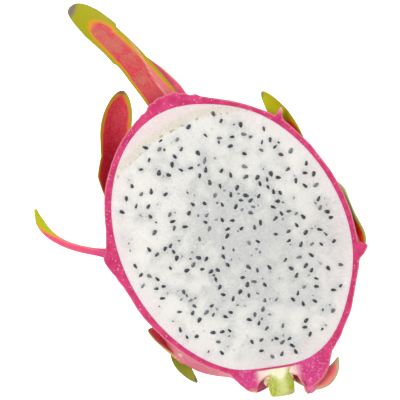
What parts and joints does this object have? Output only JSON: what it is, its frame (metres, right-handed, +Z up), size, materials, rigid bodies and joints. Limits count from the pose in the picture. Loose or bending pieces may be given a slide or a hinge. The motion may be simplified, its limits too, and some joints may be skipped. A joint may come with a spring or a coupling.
{
  "type": "dragon fruit half",
  "caption": "Half of a ripe white-fleshed dragon fruit, cut lengthwise, with leafy scales, a stem stub and dark seeds in the cut face.",
  "frame": {"origin": "middle of the small flat spot of skin that the half rests on", "axes": "+Y from the stem end to the crown, +Z up out of the cut face, +X to the right when the crown points away"},
  "size_m": [0.1176, 0.1853, 0.0461],
  "materials": {
    "rind": "fresh rind: crimson cut edge, salmon-pink waxy skin, scales red inside with olive-green margins",
    "flesh": "moist off-white pulp with fine fibres and faint bluish mottling",
    "stem": "yellow-green stub with a pale core and brown dry edges",
    "seed": "wet dark slate seed coat"
  },
  "bodies": {
    "root": {"rind": "rind", "flesh": "flesh", "stem": "stem"}
  },
  "joints": []
}
